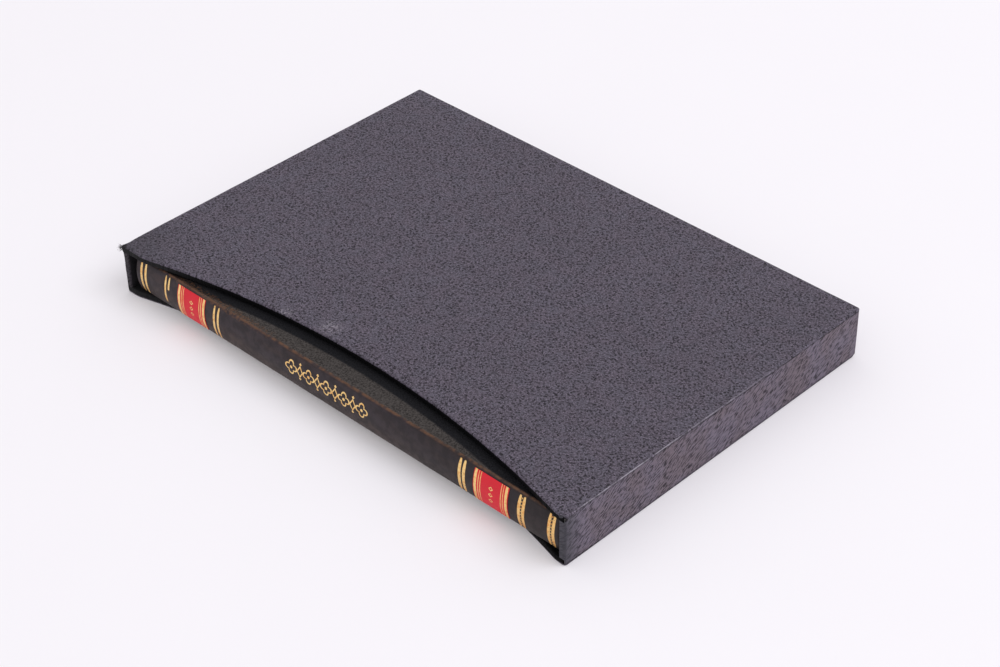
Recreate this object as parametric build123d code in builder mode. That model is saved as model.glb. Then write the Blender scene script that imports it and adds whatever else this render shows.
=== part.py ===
import os
from math import asin, cos, degrees, radians, sin, sqrt

from build123d import *

# A leather slipcase lying flat, with the thin leather bound book that it was made for.
# X runs along the book's spine from its head to its tail, and Z is up.
# The case opens towards -Y, and the origin is the middle of the case's footprint.

os.makedirs("parts", exist_ok=True)

# The book, which sets the size of the case
book_length = 215.3
book_depth = 151.4
book_thickness = 14.6
spine_radius = 17.0
cover_skin = 0.6
cover_board = 1.8
square = 2.65
section_count = 7
endpaper = 0.15
endpaper_gap = 0.1

# Room that the case leaves round the book
head_gap = 2.65
tail_gap = 0.25
back_gap = 0.3
under_gap = 0.3
over_gap = 0.5
spine_setback = 0.5

# The case's walls: outer leather, board and paper lining
leather = 0.6
board = 2.0
lining = 0.2
pared = 0.3
turn_in = 12.0
lip_gap = 0.1
edge_round = 0.5
corner_round = 0.8

# Shallow finger arcs in the front edges, with a short flat left at each end
top_arc_depth = 14.0
top_flat_head = 12.0
top_flat_tail = 4.0
bottom_arc_depth = 14.8
bottom_flat_head = 6.2
bottom_flat_tail = 4.2

# Small work inside the book
shoulder_round = 0.7
cover_edge_round = 0.4
cover_turn_in = 15.0
paste_border = 3.2
joint_gap = 2.1
hollow_wall = 0.3
hollow_slot = 0.2
hollow_inset = 0.5
tape = 0.4
tape_width = 12.0
tape_spacing = 62.0
tape_count = 3
fold_bulge = 0.25
band_depth = 1.8
band_height = 1.8
band_round = 0.6
cap_depth = 4.0
cap_round = 1.1

# Red lettering pieces pasted round the spine
label_skin = 0.15
label_reach = 6.5
head_label_start = 24.75
head_label_width = 15.3
tail_label_start = 176.65
tail_label_width = 15.7

# Outside of the case
side_wall = leather + board + pared
case_length = book_length + head_gap + tail_gap + 2 * side_wall
case_depth = spine_setback + book_depth + back_gap + lining + board + leather
panel = leather + board + lining
case_height = 2 * panel + under_gap + book_thickness + over_gap
half_length = case_length / 2
half_depth = case_depth / 2

# Place of the book in the case
book_head = -half_length + side_wall + head_gap
book_tail = book_head + book_length
spine_apex = -half_depth + spine_setback
fore_edge = spine_apex + book_depth
book_bottom = panel + under_gap
book_top = book_bottom + book_thickness
mid_height = (book_bottom + book_top) / 2
spine_axis = spine_apex + spine_radius


def write(piece, label):
    """Names a finished piece and writes its file."""
    piece.part.label = label
    export_step(piece.part, f"parts/{label}.step")


def finger_arc(flat_head, flat_tail, depth):
    """Centre and radius of the circle that cuts a front edge to the given depth between two flats."""
    half_chord = half_length - (flat_head + flat_tail) / 2
    radius = (half_chord**2 + depth**2) / (2 * depth)
    return (flat_head - flat_tail) / 2, -half_depth + depth - radius, radius


def panel_outline(arc, side, front, corner=0):
    """Outline of a side panel set in from the case's sides and back, and from its arched front edge."""
    centre_x, centre_y, radius = arc
    with BuildSketch() as outline:
        with Locations((0, (front - side) / 2)):
            Rectangle(case_length - 2 * side, case_depth - side - front)
        if corner > 0:
            fillet(outline.vertices(), corner)
        with Locations((centre_x, centre_y)):
            Circle(radius + front, mode=Mode.SUBTRACT)
    return outline.sketch


def box_between(low, high):
    """Adds a plain box between two corners to the piece being built."""
    size = [b - a for a, b in zip(low, high)]
    middle = [(a + b) / 2 for a, b in zip(low, high)]
    with Locations(tuple(middle)):
        Box(*size)


top_arc = finger_arc(top_flat_head, top_flat_tail, top_arc_depth)
bottom_arc = finger_arc(bottom_flat_head, bottom_flat_tail, bottom_arc_depth)
top_under = case_height - leather - board
bottom_over = leather + board
inside_wall = half_length - leather - board
lip_half = inside_wall - pared - lip_gap
inside_back = half_depth - leather - board


# The two side panels of the case: thick board with the finger arc cut in the front edge
def side_board(arc, base):
    with BuildPart() as piece:
        with BuildSketch(Plane.XY.offset(base)):
            add(panel_outline(arc, leather, leather, corner_round - leather))
        extrude(amount=board)
    return piece


write(side_board(top_arc, top_under), "top_board")
write(side_board(bottom_arc, leather), "bottom_board")


# Leather over a side panel: the face, the strip round the arched edge and the lip turned inside
def side_leather(arc, face_base, edge_base, lip_base, outer_height):
    with BuildPart() as piece:
        with BuildSketch(Plane.XY.offset(face_base)):
            add(panel_outline(arc, 0, 0, corner_round))
        extrude(amount=leather)
        outer_edges = piece.edges().filter_by_position(Axis.Z, outer_height, outer_height)
        fillet(outer_edges, edge_round)
        with BuildSketch(Plane.XY.offset(edge_base)):
            add(panel_outline(arc, leather, 0))
            add(panel_outline(arc, 0, leather), mode=Mode.SUBTRACT)
        extrude(amount=board)
        with BuildSketch(Plane.XY.offset(lip_base)):
            add(panel_outline(arc, half_length - lip_half, 0))
            add(panel_outline(arc, 0, leather + turn_in), mode=Mode.SUBTRACT)
        extrude(amount=pared)
    return piece


write(
    side_leather(top_arc, case_height - leather, top_under, top_under - pared, case_height),
    "top_leather",
)
write(side_leather(bottom_arc, 0, leather, bottom_over, 0), "bottom_leather")


# The three walls of board between the panels
with BuildPart() as back_board:
    box_between(
        (-half_length + leather, inside_back, bottom_over),
        (half_length - leather, half_depth - leather, top_under),
    )
write(back_board, "back_board")

for wall_name, side in (("head_board", -1), ("tail_board", 1)):
    wall_middle = side * (inside_wall + board / 2)
    with BuildPart() as wall_board:
        box_between(
            (wall_middle - board / 2, -half_depth + leather, bottom_over),
            (wall_middle + board / 2, inside_back, top_under),
        )
    write(wall_board, wall_name)


# One strip of leather round the head, back and tail walls, wrapped round the two front
# ends and turned in beside the opening
with BuildPart() as wall_leather:
    with BuildSketch(Plane.XY.offset(leather)) as wall_band:
        Rectangle(case_length, case_depth)
        fillet(wall_band.vertices(), corner_round)
        with Locations((0, -leather)):
            Rectangle(case_length - 2 * leather, case_depth, mode=Mode.SUBTRACT)
    extrude(amount=case_height - 2 * leather)
    for side in (-1, 1):
        edge_middle = side * (inside_wall + (board - pared) / 2)
        edge_half = (board + pared) / 2
        box_between(
            (edge_middle - edge_half, -half_depth, bottom_over),
            (edge_middle + edge_half, -half_depth + leather, top_under),
        )
        lip_middle = side * (inside_wall - pared / 2)
        box_between(
            (lip_middle - pared / 2, -half_depth + leather, bottom_over),
            (lip_middle + pared / 2, -half_depth + leather + turn_in, top_under),
        )
write(wall_leather, "wall_leather")


# Black paper linings behind the turned in leather
def panel_lining(arc, base):
    with BuildPart() as piece:
        with BuildSketch(Plane.XY.offset(base)):
            add(panel_outline(arc, leather + board, leather + turn_in))
        extrude(amount=lining)
    return piece


write(panel_lining(top_arc, top_under - lining), "top_lining")
write(panel_lining(bottom_arc, bottom_over), "bottom_lining")

lining_low = bottom_over + lining
lining_high = top_under - lining
with BuildPart() as back_lining:
    box_between(
        (-inside_wall + lining, inside_back - lining, lining_low),
        (inside_wall - lining, inside_back, lining_high),
    )
write(back_lining, "back_lining")

for lining_name, side in (("head_lining", -1), ("tail_lining", 1)):
    lining_middle = side * (inside_wall - lining / 2)
    with BuildPart() as wall_lining:
        box_between(
            (lining_middle - lining / 2, -half_depth + leather + turn_in, lining_low),
            (lining_middle + lining / 2, inside_back, lining_high),
        )
    write(wall_lining, lining_name)


# Heights inside the book, measured from its middle, and the round of its back
half_thickness = book_thickness / 2
board_outside = half_thickness - cover_skin
board_inside = board_outside - cover_board
leaf_outside = board_inside - pared
text_half = leaf_outside - 2 * endpaper - endpaper_gap
skin_inside = spine_radius - cover_skin
hollow_inside = skin_inside - 2 * hollow_wall - hollow_slot
fold_radius = hollow_inside - tape
shoulder_angle = degrees(asin(board_outside / fold_radius))
shoulder_y = spine_axis - sqrt(spine_radius**2 - half_thickness**2)
board_spine_edge = shoulder_y + joint_gap + leather + pared + 0.15
text_head = book_head + square
text_tail = book_tail - square


def round_point(radius, angle):
    """Point in the section across the book, on a circle about the axis of the rounded back."""
    return (
        spine_axis - radius * cos(radians(angle)),
        mid_height + radius * sin(radians(angle)),
    )


def round_strip(inner, outer, angle):
    """Strip of the rounded back, between two radii and over an angle each side of its middle."""
    with BuildSketch() as strip:
        with BuildLine():
            ThreePointArc(
                round_point(inner, -angle), round_point(inner, 0), round_point(inner, angle)
            )
            Line(round_point(inner, angle), round_point(outer, angle))
            ThreePointArc(
                round_point(outer, angle), round_point(outer, 0), round_point(outer, -angle)
            )
            Line(round_point(outer, -angle), round_point(inner, -angle))
        make_face()
    return strip.sketch


# The two cover boards of the book
for cover_name, side in (("front_cover_board", 1), ("back_cover_board", -1)):
    board_middle = mid_height + side * (board_inside + board_outside) / 2
    with BuildPart() as cover_piece:
        box_between(
            (book_head + cover_skin, board_spine_edge, board_middle - cover_board / 2),
            (book_tail - cover_skin, fore_edge - cover_skin, board_middle + cover_board / 2),
        )
    write(cover_piece, cover_name)


# Full leather cover of the book: round back, both sides, the edges turned in and a cap at
# each end of the back
with BuildPart() as cover_leather:
    with BuildSketch(Plane.YZ.offset(book_head)) as cover_outside:
        with BuildLine():
            Polyline(
                (shoulder_y, book_top),
                (fore_edge, book_top),
                (fore_edge, book_bottom),
                (shoulder_y, book_bottom),
            )
            ThreePointArc(
                (shoulder_y, book_bottom), (spine_apex, mid_height), (shoulder_y, book_top)
            )
        make_face()
        fillet(cover_outside.vertices().sort_by(Axis.X)[:2], shoulder_round)
    extrude(amount=book_length)
    end_edges = [f.edges() for f in cover_leather.faces().filter_by(Axis.X)]
    fillet(end_edges[0] + end_edges[1], cover_edge_round)
    for side in (-1, 1):
        board_middle = mid_height + side * (board_inside + board_outside) / 2
        with BuildSketch(Plane.XY.offset(board_middle - cover_board / 2)):
            with Locations((book_head + book_length / 2, (board_spine_edge + fore_edge - cover_skin) / 2)):
                Rectangle(book_length - 2 * cover_skin, fore_edge - cover_skin - board_spine_edge)
        extrude(amount=cover_board, mode=Mode.SUBTRACT)
        recess_middle = mid_height + side * (board_inside - pared / 2)
        with BuildSketch(Plane.XY.offset(recess_middle - pared / 2)):
            with Locations((book_head + book_length / 2, (board_spine_edge + fore_edge - cover_turn_in) / 2)):
                Rectangle(
                    book_length - 2 * cover_turn_in, fore_edge - cover_turn_in - board_spine_edge
                )
        extrude(amount=pared, mode=Mode.SUBTRACT)
    with BuildSketch(Plane.YZ.offset(book_head + cover_skin)):
        with Locations((spine_axis, mid_height)):
            Circle(skin_inside)
        with Locations(((board_spine_edge + spine_apex - spine_radius) / 2, mid_height)):
            Rectangle(
                board_spine_edge - spine_apex + spine_radius, 2 * board_outside, mode=Mode.INTERSECT
            )
    extrude(amount=book_length - 2 * cover_skin, mode=Mode.SUBTRACT)
    cap_edge = spine_apex + cap_depth
    with BuildSketch(Plane.YZ.offset(book_head)):
        with Locations(((cap_edge + fore_edge) / 2, mid_height)):
            Rectangle(fore_edge - cap_edge, 2 * leaf_outside)
    extrude(amount=book_length, mode=Mode.SUBTRACT)
    # The caps are rolled over the bands, so the back's ends are rounder than the sides' edges
    cap_angle = degrees(asin((half_thickness - shoulder_round - cover_edge_round) / spine_radius))
    for end, inward in ((book_head, 1), (book_tail, -1)):
        along = Vector(inward, 0, 0)
        outward = Vector(0, -cos(radians(cap_angle)), -sin(radians(cap_angle)))
        with BuildSketch(Plane((end, spine_axis, mid_height), along, along.cross(outward))):
            with Locations((cap_round / 2, spine_radius - cap_round / 2)):
                Rectangle(cap_round, cap_round)
            with Locations((cap_round, spine_radius - cap_round)):
                Circle(cap_round, mode=Mode.SUBTRACT)
        revolve(
            axis=Axis((0, spine_axis, mid_height), (-1, 0, 0)),
            revolution_arc=2 * cap_angle,
            mode=Mode.SUBTRACT,
        )
write(cover_leather, "cover_leather")


# Folded paper tube between the leather of the back and the sewn sections
hollow_angle = degrees(asin((board_outside - hollow_inset) / skin_inside))
slot_angle = hollow_angle - 2
with BuildPart() as spine_hollow:
    with BuildSketch(Plane.YZ.offset(text_head)):
        add(round_strip(hollow_inside, skin_inside, hollow_angle))
        add(
            round_strip(hollow_inside + hollow_wall, skin_inside - hollow_wall, slot_angle),
            mode=Mode.SUBTRACT,
        )
    extrude(amount=text_tail - text_head)
write(spine_hollow, "spine_hollow")


# Linen tapes that the sections are sewn on
tape_angle = shoulder_angle - 2
with BuildPart() as sewing_tapes:
    for index in range(tape_count):
        tape_middle = (text_head + text_tail) / 2 + (index - (tape_count - 1) / 2) * tape_spacing
        with BuildSketch(Plane.YZ.offset(tape_middle - tape_width / 2)):
            add(round_strip(fold_radius, hollow_inside, tape_angle))
        extrude(amount=tape_width)
write(sewing_tapes, "sewing_tapes")


# Sewn sections of paper. Their folds fan out over the round of the back to the shoulders,
# and the rounding leaves the fore edge hollow.
bend_y = board_spine_edge - joint_gap / 5
section_step = 2 * shoulder_angle / section_count
outer_back, _ = round_point(fold_radius, shoulder_angle - section_step / 2)
page_width = fore_edge - square - outer_back

for index in range(section_count):
    low_angle = -shoulder_angle + index * section_step
    high_angle = low_angle + section_step
    low_z = mid_height - text_half + index * 2 * text_half / section_count
    high_z = low_z + 2 * text_half / section_count
    fold = round_point(fold_radius, (low_angle + high_angle) / 2)
    fold_low = round_point(fold_radius - fold_bulge, low_angle)
    fold_high = round_point(fold_radius - fold_bulge, high_angle)
    section_fore = fold[0] + page_width
    with BuildPart() as text_section:
        with BuildSketch(Plane.YZ.offset(text_head)):
            with BuildLine():
                Polyline(fold_high, (bend_y, high_z), (section_fore, high_z))
                Line((section_fore, high_z), (section_fore, low_z))
                Polyline((section_fore, low_z), (bend_y, low_z), fold_low)
                ThreePointArc(fold_low, fold, fold_high)
            make_face()
        extrude(amount=text_tail - text_head)
    write(text_section, f"text_section_{index + 1}")


# Endpapers: each is one sheet folded at the joint, a leaf pasted to the board and a free leaf
leaf_joint = bend_y + 0.2
for paper_name, side in (("front_endpaper", 1), ("back_endpaper", -1)):
    paste_z = mid_height + side * (leaf_outside - endpaper / 2)
    free_z = mid_height + side * (text_half + endpaper / 2)
    with BuildPart() as endpaper_sheet:
        box_between(
            (book_head + paste_border, leaf_joint, paste_z - endpaper / 2),
            (book_tail - paste_border, fore_edge - paste_border, paste_z + endpaper / 2),
        )
        box_between(
            (text_head, leaf_joint, free_z - endpaper / 2),
            (text_tail, fore_edge - square, free_z + endpaper / 2),
        )
        box_between(
            (book_head + paste_border, leaf_joint, min(paste_z, free_z)),
            (book_tail - paste_border, leaf_joint + endpaper, max(paste_z, free_z)),
        )
    write(endpaper_sheet, paper_name)


# Silk worked bands at the head and tail of the sections
band_angle = shoulder_angle - 4
for band_name, band_start, outer_end in (
    ("headband", text_head - band_depth, text_head - band_depth),
    ("tailband", text_tail, text_tail + band_depth),
):
    with BuildPart() as end_band:
        with BuildSketch(Plane.YZ.offset(band_start)):
            add(round_strip(fold_radius - band_height, fold_radius, band_angle))
        extrude(amount=band_depth)
        fillet(end_band.edges().filter_by_position(Axis.X, outer_end, outer_end), band_round)
    write(end_band, band_name)


# Two thin red leather labels pasted round the back
label_angle = degrees(asin(label_reach / spine_radius))
for label_name, label_start, label_width in (
    ("head_label", head_label_start, head_label_width),
    ("tail_label", tail_label_start, tail_label_width),
):
    with BuildPart() as spine_label:
        with BuildSketch(Plane.YZ.offset(book_head + label_start)):
            add(round_strip(spine_radius, spine_radius + label_skin, label_angle))
        extrude(amount=label_width)
    write(spine_label, label_name)

print("case", round(case_length, 2), round(case_depth, 2), round(case_height, 2))
print("top arc", [round(value, 1) for value in top_arc])
print("bottom arc", [round(value, 1) for value in bottom_arc])
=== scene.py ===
"""Looks of a leather slipcase and the slim leather bound book that slides in it."""

from functools import partialmethod
from math import cos, pi, radians, sin

import bmesh
import bpy
import numpy as np
from bpy.props import FloatProperty, FloatVectorProperty, PointerProperty
from mathutils import Matrix, Vector
from mathutils.geometry import tessellate_polygon


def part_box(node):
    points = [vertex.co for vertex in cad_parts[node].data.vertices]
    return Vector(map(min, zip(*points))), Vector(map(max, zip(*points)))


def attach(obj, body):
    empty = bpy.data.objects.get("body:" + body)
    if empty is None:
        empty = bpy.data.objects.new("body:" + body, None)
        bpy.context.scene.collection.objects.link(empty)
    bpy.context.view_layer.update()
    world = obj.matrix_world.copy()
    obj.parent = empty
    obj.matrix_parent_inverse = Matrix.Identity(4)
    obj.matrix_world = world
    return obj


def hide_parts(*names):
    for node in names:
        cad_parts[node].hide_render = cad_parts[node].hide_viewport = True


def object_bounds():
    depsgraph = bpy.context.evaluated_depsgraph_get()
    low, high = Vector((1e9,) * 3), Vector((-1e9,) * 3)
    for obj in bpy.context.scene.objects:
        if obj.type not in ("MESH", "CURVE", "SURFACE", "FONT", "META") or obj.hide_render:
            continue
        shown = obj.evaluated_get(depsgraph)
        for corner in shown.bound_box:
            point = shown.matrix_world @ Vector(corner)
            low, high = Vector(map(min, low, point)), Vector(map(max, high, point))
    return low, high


bl_info = {
    "name": "Leather slipcase and book",
    "version": (1, 0, 0),
    "blender": (4, 5, 0),
    "location": "View3D > Sidebar > Slipcase",
    "description": "Dresses a slipcase and its book in grained leather, gold tooling and paper",
    "category": "Object",
}

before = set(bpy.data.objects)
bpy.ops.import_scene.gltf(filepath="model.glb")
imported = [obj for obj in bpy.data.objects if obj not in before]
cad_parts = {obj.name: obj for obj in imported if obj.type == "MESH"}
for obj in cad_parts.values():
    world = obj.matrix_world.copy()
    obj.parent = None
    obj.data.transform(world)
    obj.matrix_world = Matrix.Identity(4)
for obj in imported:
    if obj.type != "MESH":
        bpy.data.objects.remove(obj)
cad_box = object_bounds()

# Lengths are in millimetres, apart from the PropertyGroups' and the stage's, which are in metres.
MM = 0.001
HALF_LENGTH, HALF_DEPTH, CASE_HEIGHT = (float(side) / MM for side in cad_box[1])
FRONT = -HALF_DEPTH
WELD = 0.002


def node_box(name):
    """Lowest and highest corner of a CAD node in millimetres."""
    low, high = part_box(name)
    return np.array(low) / MM, np.array(high) / MM


BOOK_LOW, BOOK_HIGH = node_box("cover_leather")
MID_HEIGHT = float(BOOK_LOW[2] + BOOK_HIGH[2]) / 2
HALF_THICK = float(BOOK_HIGH[2] - BOOK_LOW[2]) / 2


def length(name, description, default):
    """A length that the user can change, in metres."""
    return FloatProperty(name=name, description=description, default=default, unit="LENGTH")


def angle(name, description, degrees):
    """An angle that the user can change."""
    return FloatProperty(name=name, description=description, default=radians(degrees), subtype="ANGLE")


def amount(name, description, default):
    """A number without a unit that the user can change."""
    return FloatProperty(name=name, description=description, default=default)


def tint(name, description, default):
    """A colour that the user can change."""
    return FloatVectorProperty(name=name, description=description, default=default, subtype="COLOR", size=3)


class CaseSizes(bpy.types.PropertyGroup):
    """Sizes of the case's leather work."""

    top_arc_depth: length("Top arc depth", "How far the upper finger arc is cut back", 0.014)
    top_arc_centre: length("Top arc centre", "Middle of the upper arc, towards the tail", 0.004)
    top_arc_half: length("Top arc half chord", "Half the width of the upper arc", 0.104)
    bottom_arc_depth: length("Bottom arc depth", "How far the lower arc is cut back", 0.0148)
    bottom_arc_centre: length("Bottom arc centre", "Middle of the lower arc, towards the tail", 0.001)
    bottom_arc_half: length("Bottom arc half chord", "Half the width of the lower arc", 0.1068)
    edge_round: length("Edge round", "Radius of the leather over a board's edge", 0.0006)
    corner_round: length("Corner round", "Radius of the case's corners seen from above", 0.0011)
    lip: length("Turned in lip", "Width of the leather turned inside", 0.012)


class Finishes(bpy.types.PropertyGroup):
    """Colours of the leathers, papers and gold."""

    case_leather: tint("Case leather", "Tops of the case's grain", (0.106, 0.088, 0.119))
    case_valley: tint("Case grain valleys", "Hollows between the grain", (0.009, 0.007, 0.011))
    book_leather: tint("Book leather", "Smooth leather of the back", (0.034, 0.024, 0.029))
    side_leather: tint("Book sides", "Grained leather of the book's sides", (0.062, 0.053, 0.050))
    worn_leather: tint("Worn joint", "Rubbed brown leather along the joints", (0.160, 0.074, 0.036))
    label: tint("Label", "Red label leather", (0.80, 0.012, 0.030))
    gold: tint("Gold", "Gold leaf of the tooling", (0.97, 0.67, 0.27))
    paper: tint("Text paper", "Paper of the sections", (0.80, 0.74, 0.62))
    lining: tint("Lining", "Black lining paper", (0.012, 0.012, 0.014))
    grain_pitch: length("Grain pitch", "Distance between the hollows of the case's grain", 0.0013)


def finishes():
    """The colours as the user has set them."""
    return bpy.context.scene.slipcase_finishes


class StageSettings(bpy.types.PropertyGroup):
    """Camera and light."""

    azimuth: angle("Azimuth", "Camera's turn about the object", 44.385)
    elevation: angle("Elevation", "Camera's height above the horizon", 36.666)
    roll: angle("Roll", "Camera's tilt", -0.744)
    distance: length("Distance", "From the camera to its target", 0.839442)
    lens: amount("Lens", "Focal length in millimetres", 82.43)
    target: FloatVectorProperty(
        name="Target", description="Point that the camera looks at", default=(0.009177, -0.001035, 0.0),
        subtype="XYZ", unit="LENGTH",
    )
    floor_colour: tint("Floor", "Colour of the floor", (0.745, 0.73, 0.77))
    world_level: amount("World", "Strength of the light all round", 0.80)
    key_power: amount("Key", "Power of the large soft lamp in watts", 35.0)


class Num:
    """A number that changes over a surface. Python's operators add the Math nodes."""

    def __init__(self, shader, socket):
        self.shader = shader
        self.socket = socket

    def math(self, operation, other=0.0):
        """Adds a Math node for this number and another."""
        return self.shader.number("ShaderNodeMath", {"operation": operation}, {0: self, 1: other})

    def math_after(self, operation, other):
        """Adds a Math node for another number and this one."""
        return self.shader.number("ShaderNodeMath", {"operation": operation}, {0: other, 1: self})

    __add__ = partialmethod(math, "ADD")
    __radd__ = partialmethod(math_after, "ADD")
    __sub__ = partialmethod(math, "SUBTRACT")
    __rsub__ = partialmethod(math_after, "SUBTRACT")
    __mul__ = partialmethod(math, "MULTIPLY")
    __truediv__ = partialmethod(math, "DIVIDE")
    __pow__ = partialmethod(math, "POWER")
    __abs__ = partialmethod(math, "ABSOLUTE")
    lowest = partialmethod(math, "MINIMUM")
    highest = partialmethod(math, "MAXIMUM")

    def wave(self, pitch):
        """Sine that passes through 0 at each multiple of the pitch."""
        return (self * (pi / pitch)).math("SINE")

    def step(self, low, high):
        """Smooth step from 0 at low to 1 at high; low may be the larger."""
        inputs = {0: self, 1: low, 2: high, 3: 0.0, 4: 1.0}
        if low > high:
            inputs = {0: self, 1: high, 2: low, 3: 1.0, 4: 0.0}
        return self.shader.number("ShaderNodeMapRange", {"interpolation_type": "SMOOTHSTEP"}, inputs)

    def line(self, centre, width, blur, thinning=0.0):
        """1 on a line of that width about the centre, 0 elsewhere, blurred to each side of its edges."""
        return (abs(self - centre) + thinning).step(width / 2 + blur, width / 2 - blur)


class Shader:
    """One material on a Principled surface, with its place in millimetres."""

    def __init__(self, name, **constants):
        self.material = bpy.data.materials.new(name)
        self.material.use_nodes = True
        self.tree = self.material.node_tree
        self.surface = self.tree.nodes["Principled BSDF"]
        for socket, value in constants.items():
            self.surface.inputs[socket.replace("_", " ")].default_value = value
        metres = self.node("ShaderNodeTexCoord").outputs["Object"]
        self.place = self.scaled(metres, 1 / MM)
        parts = self.node("ShaderNodeSeparateXYZ", {}, {0: self.place})
        self.x, self.y, self.z = (Num(self, socket) for socket in parts.outputs)

    def node(self, kind, settings=None, inputs=None):
        """Adds a node: its settings first, then the values or links of its sockets."""
        node = self.tree.nodes.new(kind)
        for key, value in (settings or {}).items():
            setattr(node, key, value)
        for key, value in (inputs or {}).items():
            self.feed(node.inputs[key], value)
        return node

    def number(self, kind, settings, inputs, output=0):
        """Adds a node and gives one of its outputs as a number."""
        return Num(self, self.node(kind, settings, inputs).outputs[output])

    def feed(self, socket, value):
        if isinstance(value, Num):
            value = value.socket
        if isinstance(value, bpy.types.NodeSocket):
            self.tree.links.new(value, socket)
        elif socket.type == "RGBA":
            socket.default_value = (*value[:3], 1.0)
        else:
            socket.default_value = value

    def set(self, name, value):
        self.feed(self.surface.inputs[name], value)

    def vector(self, operation, first, second):
        return self.node("ShaderNodeVectorMath", {"operation": operation}, {0: first, 1: second}).outputs[0]

    def scaled(self, first, scale):
        inputs = {0: first, "Scale": scale}
        return self.node("ShaderNodeVectorMath", {"operation": "SCALE"}, inputs).outputs[0]

    def stretched(self, shares, place=None):
        """Place multiplied by a share along each axis: a small share draws a pattern out that way."""
        return self.vector("MULTIPLY", place or self.place, shares)

    def distance(self, point):
        """Distance of the place from a point, in millimetres."""
        inputs = {0: self.place, 1: point}
        return self.number("ShaderNodeVectorMath", {"operation": "DISTANCE"}, inputs, "Value")

    def wrapped(self, value, period):
        """Value wrapped into a span of one period about 0."""
        inputs = {0: value, 1: period / 2, 2: -period / 2}
        return self.number("ShaderNodeMath", {"operation": "WRAP"}, inputs)

    def mix(self, factor, first, second):
        """Colour that goes from the first to the second as the factor goes from 0 to 1."""
        inputs = {0: factor, 6: first, 7: second}
        return self.node("ShaderNodeMix", {"data_type": "RGBA"}, inputs).outputs[2]

    def coats(self, colour, *coats):
        """Colour with coats laid over it in turn: each is a mask from 0 to 1 and the coat's colour."""
        for mask, coat in coats:
            colour = self.mix(mask, colour, coat)
        return colour

    def noise(self, pitch, detail=2.0, place=None):
        """Cloudy noise from 0 to 1 whose features are about the pitch across, in millimetres."""
        inputs = {"Vector": place or self.place, "Scale": 1 / pitch, "Detail": detail}
        return self.number("ShaderNodeTexNoise", {}, inputs)

    def patches(self, pitch, low, high):
        """Patches of noise: 0 where it is below low, rising to 1 above high. low may be the larger."""
        return self.noise(pitch).step(low, high)

    def shifted(self, amount, pitch, place=None):
        """Place pushed about by noise, so that a pattern isn't regular."""
        place = place or self.place
        inputs = {"Vector": place, "Scale": 1 / pitch, "Detail": 1.0}
        colour = self.node("ShaderNodeTexNoise", {}, inputs).outputs[1]
        centred = self.vector("SUBTRACT", colour, (0.5, 0.5, 0.5))
        return self.vector("ADD", place, self.scaled(centred, 2 * amount))

    def cells(self, pitch, place):
        """Flat cell pattern: the distance from the middle of a cell, as a share of the pitch."""
        settings = {"feature": "F1", "voronoi_dimensions": "2D"}
        inputs = {"Vector": place, "Scale": 1 / pitch}
        return self.number("ShaderNodeTexVoronoi", settings, inputs)

    def finished(self, colour, height, strength, **masks):
        """The material with its colour, its bumps' height in millimetres and other inputs that vary."""
        self.set("Base Color", colour)
        bump = self.node("ShaderNodeBump", {}, {"Strength": strength, "Distance": MM, "Height": height})
        self.set("Normal", bump.outputs[0])
        for name, value in masks.items():
            self.set(name, value)
        return self.material


def tinted(colour, *shares):
    """A colour whose channels are multiplied by one share, or by a share each."""
    return [channel * share for channel, share in zip(colour, shares * (3 // len(shares)))]


def pitted_grain(shader, pitch):
    """Fine grained leather seen from above: soft pits close together that run into short worms.

    Gives the hollows as a mask from 0 to 1, and the height in millimetres.
    """
    place = shader.shifted(0.30 * pitch, 1.3 * pitch)
    strength = shader.noise(2.4 * pitch, 1.0).step(0.34, 0.62) * 0.6 + 0.4
    pits = shader.cells(pitch, place).step(0.50, 0.16) * strength
    worms = shader.noise(0.60 * pitch, 1.0, place).step(0.50, 0.36)
    hollow = (pits * 0.85 + worms * 0.62).lowest(1.0)
    fine = shader.noise(0.28 * pitch, 2.0, place)
    return hollow, hollow * -0.12 + fine * 0.05


def creased_grain(shader, pitch, place):
    """Grain pulled out in one direction: short dark strokes side by side between long narrow pebbles."""
    place = shader.shifted(0.16 * pitch, 1.1 * pitch, place)
    strokes = shader.noise(0.50 * pitch, 1.0, place).step(0.53, 0.39)
    strength = shader.noise(3.0 * pitch, 1.0).step(0.30, 0.60) * 0.35 + 0.65
    hollow = strokes * strength
    fine = shader.noise(0.3 * pitch, 2.0, place)
    return hollow, hollow * -0.16 + fine * 0.06


def linked(name, data):
    """A new object in the scene."""
    piece = bpy.data.objects.new(name, data)
    bpy.context.scene.collection.objects.link(piece)
    return piece


def dress(node_name, material):
    """Gives a CAD node its material."""
    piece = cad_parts[node_name]
    piece.data.materials.clear()
    piece.data.materials.append(material)


def settle(name, points, faces, material, replaced=(), body="slipcase"):
    """Makes a mesh piece from points in millimetres and ties it to its body."""
    mesh = bpy.data.meshes.new(name)
    mesh.from_pydata((points.reshape(-1, 3) * MM).tolist(), [], faces)
    shape = bmesh.new()
    shape.from_mesh(mesh)
    bmesh.ops.remove_doubles(shape, verts=shape.verts, dist=WELD * MM)
    shape.to_mesh(mesh)
    shape.free()
    mesh.polygons.foreach_set("use_smooth", np.ones(len(mesh.polygons), bool))
    mesh.materials.append(material)
    piece = linked(name, mesh)
    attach(piece, body)
    if replaced:
        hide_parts(*replaced)
    return piece


def grid_faces(rows, columns, closed_columns=False, flip=False):
    """Quads of a grid of points, as whole arrays. Closed columns join the last column to the first."""
    last = columns if closed_columns else columns - 1
    r, c = np.meshgrid(np.arange(rows - 1), np.arange(last), indexing="ij")
    here, above = r * columns, (r + 1) * columns
    ahead = (c + 1) % columns
    quads = np.stack([here + c, here + ahead, above + ahead, above + c], -1).reshape(-1, 4)
    return (quads[:, ::-1] if flip else quads).tolist()


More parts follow.
